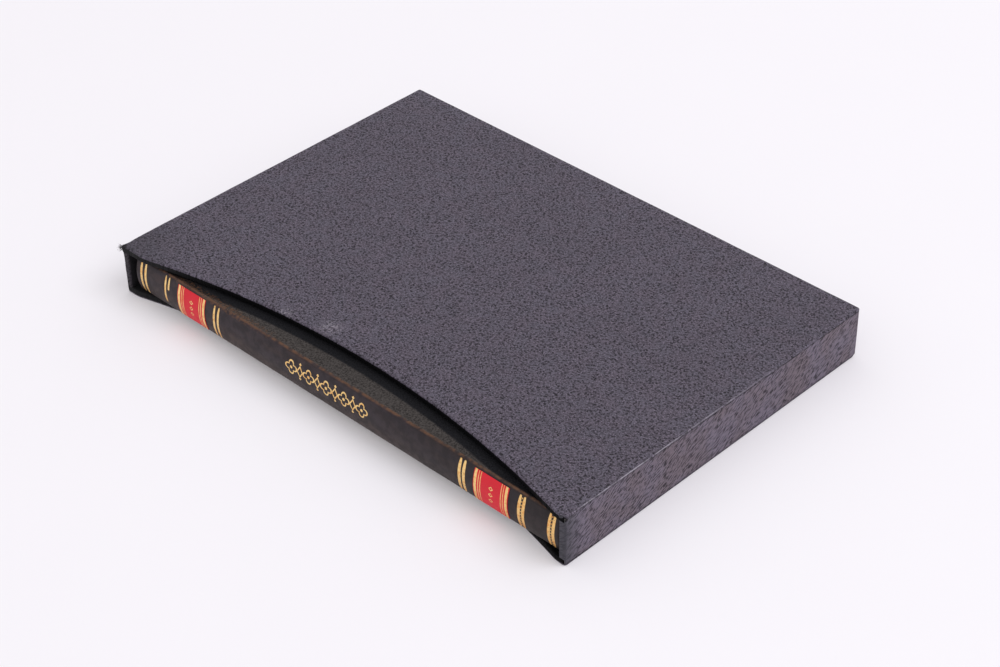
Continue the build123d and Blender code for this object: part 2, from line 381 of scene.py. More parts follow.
def pairs(first, second):
    """Points of a plane from two arrays, or from an array and a number."""
    return np.stack(np.broadcast_arrays(first, second), -1)


def unit(vectors):
    """Vectors brought to a length of 1."""
    return vectors / np.linalg.norm(vectors, axis=-1, keepdims=True)


def closed_tangents(points):
    """Directions of a closed outline at its points."""
    return unit(np.roll(points, -1, 0) - np.roll(points, 1, 0))


def bell(distance, width):
    """1 at no distance, falling smoothly to 0 over about twice the width."""
    return np.exp(-((distance / width) ** 2))


def ripple(x, y, pitch, seed):
    """Smooth irregular waves from about -1 to 1: a few sines whose directions and phases are drawn once."""
    shares = (1, 1, 1, 1.6, 1.6, 2.3, 3)
    random = np.random.default_rng(seed)
    turns = random.uniform(0, 2 * pi, len(shares))
    phases = random.uniform(0, 2 * pi, len(shares))
    total = np.zeros_like(x)
    for turn, phase, share in zip(turns, phases, shares):
        total += np.sin((x * cos(turn) + y * sin(turn)) * share * 2 * pi / pitch + phase)
    return total / (len(shares) / 2)


def arc_sizes(panel):
    """Depth, centre and half chord of the top or bottom panel's finger arc."""
    sizes = bpy.context.scene.slipcase_sizes
    return [getattr(sizes, f"{panel}_arc_{part}") / MM for part in ("depth", "centre", "half")]


def arc_radius(depth, half_chord):
    """Radius of the circle that is cut back by the depth over the chord."""
    return (half_chord**2 + depth**2) / (2 * depth)


def arc_front(x, depth, centre, half_chord):
    """Front edge of a panel: a circle cut back by its depth, meeting the flats at a soft corner."""
    radius = arc_radius(depth, half_chord)
    circle = np.sqrt(np.maximum(radius**2 - (x - centre) ** 2, 0)) - radius + depth
    soft = 0.5
    return FRONT + np.where(circle > soft, circle, np.maximum(circle + soft, 0) ** 2 / (4 * soft))


def panel_path(depth, centre, half_chord, corners, step=1.1):
    """Outline of a panel seen from above, anticlockwise from the head end of its front edge.

    Straight and arched runs are joined by quarter circles of the corner radii, given from the front
    head corner round. Returns the points, the inward normals and how much each point belongs to the front.
    """
    front_head, front_tail, back_tail, back_head = corners
    h, d = HALF_LENGTH, HALF_DEPTH
    turn = np.linspace(0, pi / 2, 7)

    def corner(x, y, radius, start):
        return pairs(x + radius * np.cos(start + turn), y + radius * np.sin(start + turn))

    front_x = np.linspace(-1, 1, int(2 * h / step)) * (h - max(front_head, front_tail))
    side = np.linspace(0, 1, int(2 * d / step))[1:-1]
    points = np.concatenate([
        pairs(front_x, arc_front(front_x, depth, centre, half_chord)),
        corner(h - front_tail, -d + front_tail, front_tail, -pi / 2),
        pairs(h, -d + front_tail + side * (2 * d - front_tail - back_tail)),
        corner(h - back_tail, d - back_tail, back_tail, 0.0),
        pairs(-front_x, d),
        corner(-h + back_head, d - back_head, back_head, pi / 2),
        pairs(-h, d - back_head - side * (2 * d - front_head - back_head)),
        corner(-h + front_head, -d + front_head, front_head, pi),
    ])
    # Points that coincide where two runs meet are dropped.
    points = points[np.linalg.norm(points - np.roll(points, 1, 0), axis=1) > 0.02]
    tangent = closed_tangents(points)
    normal = pairs(-tangent[:, 1], tangent[:, 0])
    is_front = (points[:, 1] < FRONT + depth + 1) & (np.abs(points[:, 0]) < h - 0.9)
    return points, normal, is_front.astype(float)


def worn_panel(plan, depth, normal, edge):
    """Slight waves of the upper panel's face, and a frayed edge along its front."""
    on_face = np.clip(1 - depth / edge, 0, 1)
    on_face[:6] = 0.0
    on_face[-5:] *= np.array([0.9, 0.7, 0.3, 0.0, 0.0])[:, None]
    depth = depth + (0.04 - 0.04 * ripple(plan[..., 0], plan[..., 1], 30.0, 6)) * on_face
    near_edge = np.clip(1 - np.abs(depth - 0.5 * edge) / edge, 0, 1)
    frayed = ripple(plan[..., 0], plan[..., 1], 2.2, 8) * near_edge
    frayed[:6] = 0.0
    return plan + normal * (0.06 * frayed * (plan[..., 1] < -55))[..., None], depth


def crushed_corner(plan, z):
    """The leather at the front head corner droops and stands a little off the board."""
    away = np.hypot(plan[..., 0] + HALF_LENGTH, plan[..., 1] + HALF_DEPTH)
    ragged = ripple(plan[..., 0] * 3, plan[..., 1] * 3 + 2 * z, 2.2, 17)
    plan = plan + (bell(away, 1.8) * (1 + 0.6 * ragged))[..., None] * np.array([-0.7, -0.35])
    return plan, z + 0.16 * ragged * bell(away, 2.2) - 0.42 * bell(away, 4.5)


def panel_skin(name, arc, side, corners, material, node):
    """Leather over a side panel, as rings that follow its outline inwards.

    Along the front the profile runs from the turned in lip, under the board, up over the round edge and
    onto the face. Along the walls it starts just below the edge. The last rings are flat and one face
    closes them. side is 1 for the upper panel, which has seen the wear, and -1 for the lower.
    """
    sizes = bpy.context.scene.slipcase_sizes
    edge, lip = sizes.edge_round / MM, sizes.lip / MM
    path, normal, is_front = panel_path(*arc, corners)
    # Depths below the face: the board's surface, the lip's underside, and the edge along the walls
    skin, drop, seam = 0.6, 2.9, 0.72
    under_round = 0.5
    turn = np.linspace(0, pi / 2, 6)
    late, early = 1 - np.sin(turn), 1 - np.cos(turn)
    # Each ring is an inset from the outline and a depth below the face, along the front and the walls.
    # The first three lie against the board, so the leather is a closed body.
    front_inset = np.concatenate([[skin, skin, lip, lip, 0.5 * lip, 1.0], under_round * late, edge * early])
    front_low = [skin, drop - 0.3, drop - 0.3, drop, drop, drop]
    front_depth = np.concatenate([front_low, drop - under_round * early, edge * late])
    wall_inset = np.concatenate([[skin, skin, 0.55, 0.4, 0.3, 0.2], 0.14 * late, edge * early])
    wall_depth = np.concatenate([[skin], np.full(5, seam), seam - 0.06 * early, edge * late])
    inset = front_inset[:, None] * is_front + wall_inset[:, None] * (1 - is_front)
    depth = front_depth[:, None] * is_front + wall_depth[:, None] * (1 - is_front)
    plan = path + normal * inset[..., None]
    middle = pairs(np.clip(path[:, 0], -0.5 * HALF_LENGTH, 0.5 * HALF_LENGTH), 0.0)
    share = np.array([0.008, 0.02, 0.04, 0.07, 0.11, 0.15])[:, None, None]
    plan = np.concatenate([plan, plan[-1] * (1 - share) + middle * share])
    depth = np.concatenate([depth, np.zeros((len(share), len(path)))])
    if side > 0:
        plan, depth = worn_panel(plan, depth, normal, edge)
        plan, z = crushed_corner(plan, CASE_HEIGHT - depth)
    else:
        z = depth
    rows, columns = z.shape
    faces = grid_faces(rows, columns, closed_columns=True, flip=side < 0)
    first_ring = list(range(columns))
    last_ring = list(range((rows - 1) * columns, rows * columns))
    faces += [last_ring, first_ring[::-1]] if side > 0 else [last_ring[::-1], first_ring]
    points = np.concatenate([plan, z[..., None]], -1)
    return settle(name, points, faces, material, (node,))


def thicken(piece, thickness):
    """Gives an open skin its thickness, inwards."""
    wall = piece.modifiers.new("Thickness", "SOLIDIFY")
    wall.thickness = thickness * MM
    wall.offset = -1.0


def rounded_path(corners, radii, step):
    """Points along a polyline whose corners are rounded by the radii, about a step apart."""
    corners = np.array(corners, float)
    runs = [corners[:1]]
    for before, here, after, radius in zip(corners[:-2], corners[1:-1], corners[2:], radii):
        back, ahead = unit(before - here), unit(after - here)
        start, end = here + back * radius, here + ahead * radius
        last = runs[-1][-1]
        count = max(int(np.linalg.norm(start - last) / step), 1)
        runs.append(last + (start - last) * np.linspace(0, 1, count + 1)[1:, None])
        turn = np.linspace(0, pi / 2, 6)[1:, None]
        centre = start + ahead * radius
        runs.append(centre - ahead * radius * np.cos(turn) - back * radius * np.sin(turn))
        runs[-1][-1] = end
    last = runs[-1][-1]
    count = int(np.linalg.norm(corners[-1] - last) / step)
    runs.append(last + (corners[-1] - last) * np.linspace(0, 1, count + 1)[1:, None])
    return np.concatenate(runs)


def wall_skin(name, material):
    """The strip of leather round the walls: a path seen from above, carried up from edge to edge.

    The path starts on the lip inside the head wall, turns round the wall's front end, goes down the head,
    back and tail walls and ends on the lip inside the tail wall. Top and bottom edges curl in a little
    where the strip meets the panels' leather.
    """
    h, d = HALF_LENGTH, HALF_DEPTH
    inner = node_box("tail_board")[0][0] - 0.3
    lip_y = -d + 0.6 + bpy.context.scene.slipcase_sizes.lip / MM
    corners = [(-inner, lip_y), (-inner, -d), (-h, -d), (-h, d), (h, d), (h, -d), (inner, -d), (inner, lip_y)]
    path = rounded_path(corners, (0.5, 0.8, 1.1, 1.1, 0.8, 0.5), 1.4)
    tangent = unit(np.gradient(path, axis=0))
    inward = pairs(tangent[:, 1], -tangent[:, 0])
    outside = (np.abs(path[:, 0]) > h - 0.45) | (path[:, 1] > -d + 20)
    low = np.where(outside, 0.78, node_box("bottom_board")[1][2])
    high = np.where(outside, CASE_HEIGHT - 0.80, node_box("top_board")[0][2])
    rise = np.array([0.0, 0.0, 0.004, 0.02, 0.08, 0.2, 0.35, 0.5, 0.65, 0.8, 0.92, 0.98, 0.996, 1.0, 1.0])
    curl = np.zeros_like(rise)
    curl[:3] = (0.5, 0.22, 0.08)
    curl[-3:] = (0.08, 0.22, 0.5)
    z = low + (high - low) * rise[:, None]
    distance = np.cumsum(np.r_[0, np.linalg.norm(np.diff(path, axis=0), axis=1)])
    wave = ripple(np.broadcast_to(distance, z.shape), z * 2.0, 23.0, 11)
    swell = np.sin(pi * rise)[:, None] * (0.05 + 0.05 * wave)
    offset = np.where(outside, curl[:, None] * 0.8 + 0.06 - swell, curl[:, None] * 0.2)
    plan = path + inward * offset[..., None]
    # The front head corner is crushed, more so towards its top.
    away = np.hypot(np.hypot(plan[..., 0] + h, plan[..., 1] + d), (CASE_HEIGHT - z) * 0.6)
    ragged = ripple(plan[..., 0] * 2 + z, plan[..., 1] * 2 - z, 3.0, 19)
    plan = plan + (0.9 * (1 + 0.5 * ragged) * bell(away, 1.7))[..., None] * np.array([-0.9, -0.2])
    points = np.concatenate([plan, z[..., None]], -1)
    faces = grid_faces(*z.shape, flip=True)
    piece = settle(name, points, faces, material, ("wall_leather",))
    thicken(piece, 0.25)
    return piece


def corner_spot(end, inward, back, down):
    """A place near the case's front top corner: end is -1 at the head and 1 at the tail."""
    return end * (HALF_LENGTH - inward), FRONT + back, CASE_HEIGHT - down


def case_panel_leather(pitch):
    """Finely pitted leather of the case's panels, with painted shade round the arched edges, rubbed in a few
    places and with a painted highlight along the tail edge.
    """
    look = finishes()
    shader = Shader("case_panel_leather", Specular_IOR_Level=0.24)
    hollow, height = pitted_grain(shader, pitch)
    cloud = shader.noise(26.0, 3.0)
    speck = shader.noise(0.50)
    near_corner = shader.distance(corner_spot(-1, 0, 0, 0)).step(30.0, 4.0) * 0.45
    # Two rubbed places beside the upper arc, and a painted highlight, partly edge wear, along the sharp edge
    # above the tail wall.
    rubbed = shader.distance((-35.5, -64.6, CASE_HEIGHT)).step(4.5, 0.6)
    rubbed = rubbed.highest(shader.distance((-17, -59.5, CASE_HEIGHT)).step(6.0, 1.0))
    rubbed = rubbed * shader.patches(0.8, 0.46, 0.64) * 0.55
    edge_highlight = abs(shader.z - shader.x + (HALF_LENGTH - CASE_HEIGHT + 0.05)).step(0.34, 0.14)
    edge_highlight = edge_highlight * shader.x.step(HALF_LENGTH - 0.7, HALF_LENGTH - 0.5)
    breaks = shader.patches(6.0, 0.28, 0.55) * shader.y.step(50.0, -45.0)
    breaks = breaks * shader.y.step(FRONT + 0.5, FRONT + 11.5)
    # Painted shade: the turned edges and lips, which face away from the lamp or lie inside the opening, are
    # coloured near black, with a ragged border. The tuck at the tail corner gets painted shade too, and the
    # frayed head corner is darkened.
    border = (shader.noise(1.2, 3.0) - 0.5) * 0.5
    middle = CASE_HEIGHT / 2
    shaded_edges = abs(shader.z + border - middle).step(middle - 0.55, middle - 0.9)
    shaded_edges = shaded_edges * shader.y.step(FRONT + 17.5, FRONT + 15.5)
    tuck = shader.distance(corner_spot(1, 0.7, 0.1, 0.8)).step(0.75, 0.40)
    frayed = shader.distance(corner_spot(-1, -0.6, -0.3, 0.5)).step(4.0, 1.4)
    shaded_edges = shaded_edges.highest(tuck).highest(frayed * shader.patches(1.0, 0.25, 0.6) * 0.8)
    colour = shader.coats(
        look.case_leather,
        (shader.patches(7.0, 0.35, 0.65) * 0.8, tinted(look.case_leather, 0.92, 1.02, 1.02)),
        (cloud.step(0.3, 0.7) * 0.25 + speck.step(0.60, 0.35) * 0.35, tinted(look.case_leather, 0.70)),
        (hollow * 0.95, look.case_valley),
        # Painted highlight: small light specks stand in for glints on the grain's tops.
        (speck.step(0.56, 0.66) * 0.70, tinted(look.case_leather, 2.2)),
        (near_corner, (0.030, 0.028, 0.036)),
        (rubbed.highest(edge_highlight * breaks * 0.75), (0.36, 0.33, 0.38)),
        (shaded_edges, (0.005, 0.005, 0.006)),
    )
    height = height + shader.noise(9.0) * 0.10
    roughness = 0.50 + hollow * 0.2 + shaded_edges * 0.25
    # Painted shade: along the middle of the arc, metal with a near black colour takes the sheen off the
    # shaded edges, so they read blacker.
    painted_shade_metallic = shaded_edges * shader.x.step(-100.0, -60.0) * 0.8
    return shader.finished(colour, height, 0.9, Roughness=roughness, Metallic=painted_shade_metallic)


def case_wall_leather(pitch):
    """Leather of the walls, its grain pulled out in long slanting strokes, made lighter as painted light,
    with painted shade in the seam at the top, on the front ends and inside the opening.
    """
    look = finishes()
    shader = Shader("case_wall_leather", Specular_IOR_Level=0.24)
    along = shader.x + shader.y
    slant = radians(30)
    stroke = (along * cos(slant) + shader.z * sin(slant)) * 0.27
    across = shader.z * cos(slant) - along * sin(slant)
    place = shader.node("ShaderNodeCombineXYZ", {}, {0: stroke, 1: across, 2: 0.0})
    hollow, height = creased_grain(shader, 0.95 * pitch, place.outputs[0])
    speck = shader.noise(0.55)
    cloud = shader.noise(16.0)
    # Painted shade: a broken dark line just below the top edge stands in for shade in the seam where the
    # wall's leather meets the panel's.
    seam = shader.patches(3.5, 0.40, 0.55) * shader.y.step(-40.0, 10.0) + 0.2
    seam = shader.z.step(CASE_HEIGHT - 1.28, CASE_HEIGHT - 1.02) * seam
    # Painted shade: the walls' front ends, which face away from the lamp, are coloured grey, the tail's
    # lighter than the head's.
    at_tail, at_head = shader.x.step(100.0, 104.0), shader.x.step(-100.0, -104.0)
    front_end_shade = (shader.y.step(FRONT + 15.5, FRONT + 0.5) * at_tail) ** 3.0 * 0.75
    front_end_shade = front_end_shade.highest(shader.y.step(FRONT + 1.1, FRONT + 0.5) * at_tail * 0.92)
    head_end_shade = shader.y.step(FRONT + 1.3, FRONT + 0.7) * at_head * 0.82
    # Painted shade: the walls' inner faces near the opening and the tuck at the tail corner are darkened; the
    # frayed head corner is darkened too.
    inside = (HALF_LENGTH - 0.5 - abs(shader.x)).step(0.5, 1.2)
    inside = inside * shader.y.step(FRONT + 17.5, FRONT + 13.5) * shader.y.step(FRONT + 0.3, FRONT + 0.6)
    tuck = shader.distance(corner_spot(1, 0.2, 0.5, 1.4)).step(0.85, 0.5)
    frayed = shader.distance(corner_spot(-1, -0.6, -0.3, 1.0)).step(4.5, 1.6) * 0.8
    dark = seam.highest(head_end_shade).highest(inside).highest(tuck).highest(frayed)
    # Painted light: the walls take the case leather made 1.56 times lighter, for the light that falls on the
    # tail wall.
    lit_tops = tinted(look.case_leather, 1.56)
    colour = shader.coats(
        lit_tops,
        (cloud.step(0.35, 0.62) * 0.9, tinted(lit_tops, 0.92, 0.84, 0.74)),
        (speck.step(0.6, 0.35) * 0.35, tinted(lit_tops, 0.6)),
        (hollow * 0.85, look.case_valley),
        # Painted highlight: small light specks stand in for glints on the grain.
        (speck.step(0.60, 0.72) * 0.35, tinted(lit_tops, 1.5)),
        (front_end_shade, (0.046, 0.045, 0.056)),
        (dark, (0.012, 0.011, 0.013)),
    )
    height = height + shader.noise(7.0) * 0.12
    return shader.finished(colour, height, 0.9, Roughness=0.50 + hollow * 0.2 + dark * 0.2)


def lining_paper():
    """Black paper of the linings: faint fibres and mottling."""
    black = finishes().lining
    shader = Shader("black_lining", Specular_IOR_Level=0.3, Roughness=0.8)
    fibres = shader.noise(0.5, 3.0)
    colour = shader.mix(fibres * 0.6 + shader.noise(18.0) * 0.4, black, tinted(black, 0.86))
    return shader.finished(colour, fibres * 0.03, 0.5)


def grey_board():
    """Pressed grey pulp: layers on the cut edges, light fibres and dark specks."""
    shader = Shader("greyboard", Specular_IOR_Level=0.25, Roughness=0.9)
    layers = shader.noise(0.35, 2.0, shader.stretched((0.06, 0.06, 1.0)))
    fibres = shader.noise(0.5, 3.0, shader.shifted(0.8, 2.0))
    colour = shader.coats(
        (0.33, 0.32, 0.30),
        (layers.step(0.35, 0.65) * 0.5, (0.24, 0.23, 0.21)),
        (fibres.step(0.55, 0.70) * 0.4, (0.42, 0.40, 0.37)),
        (shader.patches(0.9, 0.64, 0.72) * 0.6, (0.12, 0.11, 0.10)),
    )
    return shader.finished(colour, fibres * 0.05 + layers * 0.04, 0.7)


def kraft_paper():
    """Brown paper of the hollow: long fibres that lie along the book, faint ribs and specks."""
    shader = Shader("kraft_paper", Specular_IOR_Level=0.3, Roughness=0.8)
    fibres = shader.noise(0.4, 3.0, shader.stretched((0.15, 1.0, 1.0), shader.shifted(0.5, 3.0)))
    ribs = abs(shader.z.wave(0.7))
    colour = shader.coats(
        (0.44, 0.31, 0.18),
        (fibres.step(0.40, 0.65) * 0.6, (0.32, 0.21, 0.11)),
        (shader.patches(0.8, 0.66, 0.74) * 0.5, (0.16, 0.10, 0.05)),
        (ribs * 0.12, (0.26, 0.17, 0.09)),
    )
    return shader.finished(colour, fibres * 0.04 + ribs * 0.02, 0.7)


def woven_tape():
    """Linen tape in plain weave: threads along the book pass over and under threads round the back."""
    shader = Shader("linen_tape", Specular_IOR_Level=0.25, Roughness=0.85)
    warp, weft = shader.x.wave(0.4), shader.z.wave(0.4)
    over = (warp * weft).step(-0.25, 0.25)
    height = over * abs(warp) + (1.0 - over) * abs(weft)
    slub = shader.noise(1.4, 2.0, shader.stretched((0.2, 1.0, 1.0)))
    colour = shader.coats(
        (0.68, 0.64, 0.54),
        (slub.step(0.4, 0.7) * 0.4, (0.52, 0.47, 0.37)),
        (height.step(0.5, 0.05) * 0.6, (0.24, 0.21, 0.15)),
    )
    return shader.finished(colour, height * 0.08, 0.9)


def silk_band():
    """Red and cream silk wound over a core: bundles of turns side by side, each turn a fine ridge."""
    shader = Shader("silk_band", Specular_IOR_Level=0.45)
    wobble = shader.z + (shader.noise(1.2, 1.0) - 0.5) * 0.2
    red = abs(shader.wrapped(wobble, 1.8)).step(0.50, 0.42)
    threads = abs(wobble.wave(0.22))
    sheen = shader.noise(0.6)
    colour = shader.coats(
        (0.70, 0.62, 0.46),
        (red, (0.50, 0.030, 0.050)),
        (threads.step(0.45, 0.0) * 0.55, (0.10, 0.03, 0.03)),
        (sheen * 0.25, (0.85, 0.62, 0.50)),
    )
    return shader.finished(colour, threads * 0.06, 0.9, Roughness=0.34 + sheen * 0.2)


def laid_paper():
    """Cream endpaper with close laid lines, wider chain lines and cloudy pulp."""
    shader = Shader("endpaper", Specular_IOR_Level=0.3, Roughness=0.8)
    laid = abs(shader.x.wave(1.1))
    chain = abs(shader.wrapped(shader.y, 25.0)).step(0.45, 0.05)
    pulp = shader.noise(2.2, 4.0)
    colour = shader.coats(
        (0.76, 0.70, 0.58),
        (pulp.step(0.35, 0.70) * 0.5, (0.66, 0.59, 0.46)),
        ((laid * 0.12 + chain * 0.25).lowest(1.0), (0.52, 0.46, 0.35)),
    )
    return shader.finished(colour, laid * 0.015 + chain * 0.02 + pulp * 0.03, 0.6)


def leaf_edges():
    """Edges of a stack of leaves: fine uneven lines along the book, on every side of a section."""
    paper = finishes().paper
    shader = Shader("text_paper", Specular_IOR_Level=0.3, Roughness=0.8)
    leaves = shader.noise(0.13, 2.0, shader.stretched((0.02, 0.02, 1.0)))
    shadow = leaves.step(0.35, 0.7) * 0.55 + shader.noise(14.0, 3.0) * 0.2
    return shader.finished(shader.mix(shadow, paper, tinted(paper, 0.62)), leaves * 0.06, 0.8)


# Double gold fillets across the back: the two lines' places from head to tail, and their width
FILLETS = (
    (-102.75, -100.4, 1.15),
    (-88.9, -87.0, 0.95),
    (-61.4, -59.2, 1.05),
    (63.6, 65.6, 1.3),
    (90.8, 92.7, 1.25),
    (104.1, 106.1, 1.3),
)
WORN_FILLET = 1
RICH_FILLETS = (4, 5)
# Gold lines at both ends of a label: how far from the end, and their width
LABEL_LINES = ((0.85, 1.2), (2.25, 0.42), (3.2, 0.42))
# The ornaments' row: its middle along the book and up, how far apart they are and how many
ORNAMENT_X, ORNAMENT_Z, ORNAMENT_PITCH, ORNAMENT_COUNT = -1.5, 12.0, 9.0, 5
# How far in front of the case's middle the book's joints lie
JOINT_OUT = 74.9


def tool_wobble(shader):
    """How far a tooled line strays, and how much it thins towards its ends."""
    end = abs(shader.z - MID_HEIGHT) * (1 / HALF_THICK)
    return shader.x + (shader.noise(7.0, 1.0) - 0.5) * 0.4, end ** 5.0 * 0.45


def fillet_lines(shader):
    """Mask of the gold lines across the back, one pair of them half rubbed off."""
    wobble, thinning = tool_wobble(shader)
    gold = None
    for index, (first, second, width) in enumerate(FILLETS):
        left = wobble.line(first, width, 0.08, thinning)
        right = wobble.line(second, width, 0.08, thinning)
        if index == WORN_FILLET:
            ragged = shader.z + shader.noise(2.0, 3.0) * 5.0 - 2.5
            left = left * ragged.step(5.0, 8.0)
            right = right * ragged.step(11.2, 12.0)
        pair = left.highest(right)
        if index in RICH_FILLETS:
            dotted = abs(shader.wrapped(shader.z, 1.25)).step(0.34, 0.16)
            pair = pair.highest(wobble.line((first + second) / 2, 0.5, 0.1) * dotted * 0.8)
        gold = pair if gold is None else gold.highest(pair)
    return gold


def centre_ornaments(shader):
    """A short row of tooled flowers and lozenges in the middle of the back.

    Each flower is the outline of four petals: its radius swells and shrinks four times round.
    """
    row = shader.x - ORNAMENT_X
    up = (shader.z - ORNAMENT_Z) * 1.06
    half_row = ORNAMENT_COUNT * ORNAMENT_PITCH / 2
    along = shader.wrapped(row, ORNAMENT_PITCH)
    square = along * along + up * up
    away = square ** 0.5
    fourfold = abs(along * along - up * up) / (square + 0.01)
    flower = abs(away - (fourfold * 1.25 + 1.55)).step(0.42, 0.24)
    seed = away.step(0.72, 0.52)
    between = abs(shader.wrapped(row + ORNAMENT_PITCH / 2, ORNAMENT_PITCH))
    lozenge = abs(between + abs(up) * 0.62 - 1.35).step(0.38, 0.2)
    stem = (between + abs(abs(up) - 3.1)).step(0.72, 0.55)
    flowers = flower.highest(seed) * abs(row).step(half_row + 0.02, half_row)
    return flowers.highest(lozenge.highest(stem) * abs(row).step(half_row - 1.8, half_row - 1.9))


def smooth_back(shader, mottled):
    """Colour of the back: smooth and nearly black, streaked along the book and darker to the tail."""
    streak = shader.noise(6.0, 3.0, shader.stretched((0.22, 1.0, 1.0)))
    lower = shader.z.step(11.0, 6.0) * 0.7
    return shader.coats(
        finishes().book_leather,
        ((streak.step(0.4, 0.65) * 0.6 + lower).lowest(1.0), (0.044, 0.026, 0.023)),
        (mottled * 0.55, (0.012, 0.009, 0.011)),
        (shader.x.step(15.0, 95.0) * 0.55, (0.010, 0.008, 0.009)),
    )


def grained_side(shader, hollow, skin):
    """Colour of the sides, 1 where the case has kept the light off them, and 1 where painted shade is
    deepened with metal.

    Only the strip inside the upper finger arc has faded; the darker leather under the case is partly leather
    that has not faded and partly painted shade. A near black band just behind the arc is a painted shadow of
    the case's arced edge.
    """
    faded = finishes().side_leather
    faded = shader.coats(
        faded, (skin.step(0.35, 0.65) * 0.5, tinted(faded, 0.55)), (hollow * 0.8, (0.010, 0.008, 0.007))
    )
    depth, centre, half_chord = arc_sizes("top")
    radius = arc_radius(depth, half_chord)
    centre_y = depth - HALF_DEPTH - radius
    from_centre = ((shader.x - centre) ** 2.0 + (shader.y - centre_y) ** 2.0) ** 0.5
    kept = (from_centre + (skin - 0.5) * 1.2).step(radius - 4.4, radius - 3.4)
    # Painted shadow: the near black band just behind the arc stands in for the shadow of the case's arced
    # edge.
    painted_arc_shadow = shader.mix(skin.step(0.4, 0.65), (0.007, 0.007, 0.009), (0.018, 0.018, 0.022))
    unfaded_and_shaded = shader.coats(
        (0.036, 0.034, 0.040),
        (hollow * 0.8, (0.010, 0.009, 0.011)),
        (skin.step(0.62, 0.35) * 0.4, (0.018, 0.016, 0.019)),
    )
    dark = shader.mix(from_centre.step(radius + 0.8, radius + 4.0), painted_arc_shadow, unfaded_and_shaded)
    painted_shade_metallic = kept * from_centre.step(radius + 3.5, radius + 0.8)
    return shader.mix(kept, faded, dark), kept, painted_shade_metallic


def worn_joint(shader, joint_y):
    """1 where the joint of back and side is rubbed: a broken line and, towards the head, flecks."""
    line = abs(joint_y - 0.1).step(0.8, 0.1) * shader.noise(2.0, 3.0).step(0.30, 0.62) * 0.7
    flecks = abs(joint_y - 0.9).step(2.8, 0.6) * shader.patches(0.8, 0.46, 0.60)
    return line.highest(flecks * shader.x.step(-90.0, -80.0) * shader.x.step(-20.0, -52.0) * 0.72)


def gilded(shader, colour, gold, roughness, height, strength, painted_shade_metallic=0.0):
    """The material with gold leaf over its leather where the mask is 1, partly rubbed down to brown and
    browner on the lower half of the back as painted shade.
    """
    leaf = finishes().gold
    # Painted shade: the gold is browner on the lower half of the back, besides the rubbed patches; it is also
    # browner towards the tail.
    rubbed = shader.noise(1.5, 3.0).step(0.46, 0.66) * 0.65 + shader.z.step(9.0, 5.0) * 0.3
    rubbed = (rubbed + shader.x.step(60.0, 105.0) * 0.3).lowest(1.0)
    colour = shader.mix(gold, colour, shader.mix(rubbed, leaf, tinted(leaf, 0.80, 0.55, 0.36)))
    roughness = roughness * (1 - gold) + gold * 0.40
    return shader.finished(colour, height, strength, Roughness=roughness, Metallic=gold * 0.55 + painted_shade_metallic)


def book_cover_leather():
    """Leather of the book: smooth dark back, grained sides, rubbed brown joints and gold fillets."""
    shader = Shader("book_leather", Specular_IOR_Level=0.24)
    above = abs(shader.z - MID_HEIGHT)
    joint_y = shader.y + JOINT_OUT
    on_side = joint_y.step(0.0, 0.8) * above.step(HALF_THICK - 1.2, HALF_THICK - 0.3)
    hollow, height = pitted_grain(shader, 0.95)
    skin = shader.noise(0.45, 3.0)
    mottled = shader.noise(3.0, 4.0).step(0.35, 0.65)
    side, kept, painted_shade_metallic = grained_side(shader, hollow, skin)
    worn = (worn_joint(shader, joint_y) * above.step(HALF_THICK - 1.5, HALF_THICK - 0.5)).lowest(1.0)
    colour = shader.coats(
        smooth_back(shader, mottled),
        (on_side, side),
        (worn * 0.90, finishes().worn_leather),
    )
    # The tooling runs over the round of the back and stops short of the sides.
    tooled = above.step(HALF_THICK - 0.45, HALF_THICK - 0.8) * shader.y.step(-72.0, -73.5)
    gold = fillet_lines(shader).highest(centre_ornaments(shader)) * tooled
    gold = gold * shader.patches(0.5, 0.20, 0.40)
    roughness = 0.38 + hollow * on_side * 0.25 + skin * 0.12 + mottled * 0.08 + kept * on_side * 0.3
    height = height * on_side + skin * 0.025 - gold * 0.05 + shader.noise(2.5) * 0.06
    return gilded(shader, colour, gold, roughness, height + worn * skin * 0.08, 0.9, painted_shade_metallic * on_side * 0.4)


def label_leather(name, low, high):
    """Red label: thick and thin gold lines at both ends and a small column of lozenges."""
    red = finishes().label
    shader = Shader(name, Specular_IOR_Level=0.3)
    skin = shader.noise(0.5, 3.0)
    cloud = shader.noise(5.0, 3.0)
    up = abs(shader.wrapped(shader.z - MID_HEIGHT, 2.5)) * 1.15
    across = abs(shader.x - (low + high) / 2 - 0.2)
    inside = abs(shader.z - MID_HEIGHT).step(3.78, 3.72)
    gold = abs(across + up - 0.78).step(0.30, 0.16) * inside * shader.z.step(6.0, 10.0).highest(0.75)
    wobble, thinning = tool_wobble(shader)
    for distance, width in LABEL_LINES:
        for place in (low + distance, high - distance):
            line = wobble.line(place, width, 0.06, thinning * 0.4)
            gold = gold.highest(line * min(1.0, 0.62 + 0.35 * width))
    gold = gold * shader.patches(0.5, 0.18, 0.38)
    colour = shader.mix(cloud * 0.5 + skin * 0.3, red, tinted(red, 0.70))
    height = skin * 0.02 - gold * 0.04 + cloud * 0.05
    return gilded(shader, colour, gold, 0.42 + skin * 0.1, height, 0.8)


def round_in(distance, radius):
    """How far a quarter round of that radius draws in at a distance from its end."""
    short = radius - np.minimum(distance, radius)
    return radius - np.sqrt(radius**2 - short**2)


def end_faces(outline, first, facing):
    """Triangles that close the end of a bent section, numbered from its first point, facing along x."""
    triangles = np.array(tessellate_polygon([[Vector((*point, 0.0)) for point in outline]]))
    start, second, third = (outline[triangles[:, corner]] for corner in range(3))
    ahead, across = second - start, third - start
    turned = (ahead[:, 0] * across[:, 1] - ahead[:, 1] * across[:, 0]) * facing < 0
    triangles[turned] = triangles[turned][:, ::-1]
    return (triangles + first).tolist()


